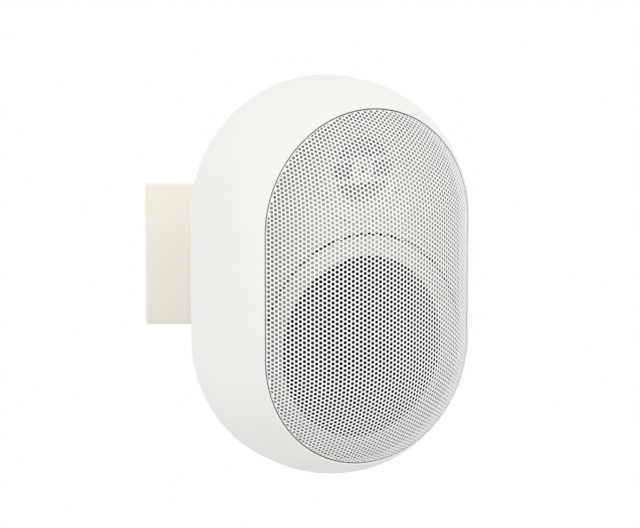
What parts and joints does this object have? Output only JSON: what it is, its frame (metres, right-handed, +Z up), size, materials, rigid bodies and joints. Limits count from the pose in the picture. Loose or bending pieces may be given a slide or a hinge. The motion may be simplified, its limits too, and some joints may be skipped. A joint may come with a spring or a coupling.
{
  "type": "wall loudspeaker",
  "caption": "Rounded white wall loudspeaker with a domed perforated grille, woofer and tweeter behind it, on a wall bracket that pans and tilts.",
  "frame": {"origin": "middle of the wall plate's back face, at the centre of its four wall holes", "axes": "+Z up, +Y into the wall, +X to the right of someone facing the wall; the speaker is turned 30 degrees to the right at rest"},
  "size_m": [0.225, 0.2324, 0.2694],
  "materials": {
    "cabinet_white": "satin moulded plastic",
    "grille_white": "satin powder coat",
    "front_white": "satin paint",
    "bracket_cream": "satin moulded plastic",
    "bracket_metal": "satin powder coat",
    "steel": "zinc plated",
    "basket_black": "black coat",
    "cone_black": "matt coated pulp",
    "rubber_black": "matt rubber",
    "spider_cloth": "resin dipped cloth",
    "magnet_dark": "sintered ferrite",
    "copper": "enamelled wire",
    "dome_silk": "coated cloth",
    "board_green": "solder mask",
    "capacitor_yellow": "film wrap",
    "resistor_ceramic": "ceramic",
    "panel_black": "moulded plastic",
    "lever_red": "moulded plastic",
    "lever_black": "moulded plastic",
    "nylon": "moulded nylon",
    "tag_brass": "tinned brass"
  },
  "bodies": {
    "wall_bracket": {"wall_plate": "bracket_metal", "bracket_cover": "bracket_cream", "pan_bolt": "steel", "pan_nut": "steel", "pan_washers": "nylon"},
    "swivel": {"swivel_arm": "bracket_metal"},
    "speaker": {"baffle_gasket": "rubber_black", "baffle_screws": "steel", "cabinet_shell": "cabinet_white", "crossover_board": "board_green", "crossover_capacitors": "capacitor_yellow", "crossover_inductor": "copper", "crossover_resistor": "resistor_ceramic", "crossover_screws": "steel", "front_baffle": "front_white", "grille": "grille_white", "mount_screws": "steel", "rear_mount": "bracket_metal", "terminal_panel": "panel_black", "terminal_tags": "tag_brass", "tilt_bolt": "steel", "tilt_nut": "steel", "tilt_washers": "nylon", "tweeter_faceplate": "front_white", "tweeter_guard": "front_white", "tweeter_magnet": "magnet_dark", "tweeter_screws": "steel", "tweeter_surround": "dome_silk", "tweeter_top_plate": "steel", "tweeter_yoke": "steel", "woofer_basket": "basket_black", "woofer_gasket": "rubber_black", "woofer_magnet": "magnet_dark", "woofer_screws": "steel", "woofer_spider": "spider_cloth", "woofer_surround": "rubber_black", "woofer_top_plate": "steel", "woofer_trim_ring": "front_white", "woofer_yoke": "steel"},
    "woofer_diaphragm": {"woofer_cone": "cone_black", "woofer_dust_cap": "cone_black", "woofer_voice_coil": "copper"},
    "tweeter_diaphragm": {"tweeter_dome": "dome_silk", "tweeter_voice_coil": "copper"},
    "left_lever": {"terminal_lever_left": "lever_red"},
    "right_lever": {"terminal_lever_right": "lever_black"}
  },
  "joints": [
    {"name": "pan", "type": "hinge", "parent": "wall_bracket", "child": "swivel", "pos_m": [0, -0.04, 0], "axis": [0, 0, 1], "range_deg": [-75, 15]},
    {"name": "tilt", "type": "hinge", "parent": "swivel", "child": "speaker", "pos_m": [0.014, -0.06425, 0], "axis": [0.866, 0.5, 0], "range_deg": [-15, 15]},
    {"name": "woofer_travel", "type": "slide", "parent": "speaker", "child": "woofer_diaphragm", "axis": [0.5, -0.866, 0], "range_m": [-0.003, 0.003], "stiffness_N_per_m": 1500, "deforming": ["woofer_surround", "woofer_spider"]},
    {"name": "tweeter_travel", "type": "slide", "parent": "speaker", "child": "tweeter_diaphragm", "axis": [0.5, -0.866, 0], "range_m": [-0.0003, 0.0003], "stiffness_N_per_m": 800, "deforming": ["tweeter_surround"]},
    {"name": "left_lever_press", "type": "hinge", "parent": "speaker", "child": "left_lever", "pos_m": [0.02923, -0.07162, -0.0399], "axis": [-0.866, -0.5, 0], "range_deg": [0, 18], "stiffness_Nm_per_rad": 0.1},
    {"name": "right_lever_press", "type": "hinge", "parent": "speaker", "child": "right_lever", "pos_m": [0.01277, -0.08112, -0.0399], "axis": [-0.866, -0.5, 0], "range_deg": [0, 18], "stiffness_Nm_per_rad": 0.1}
  ]
}
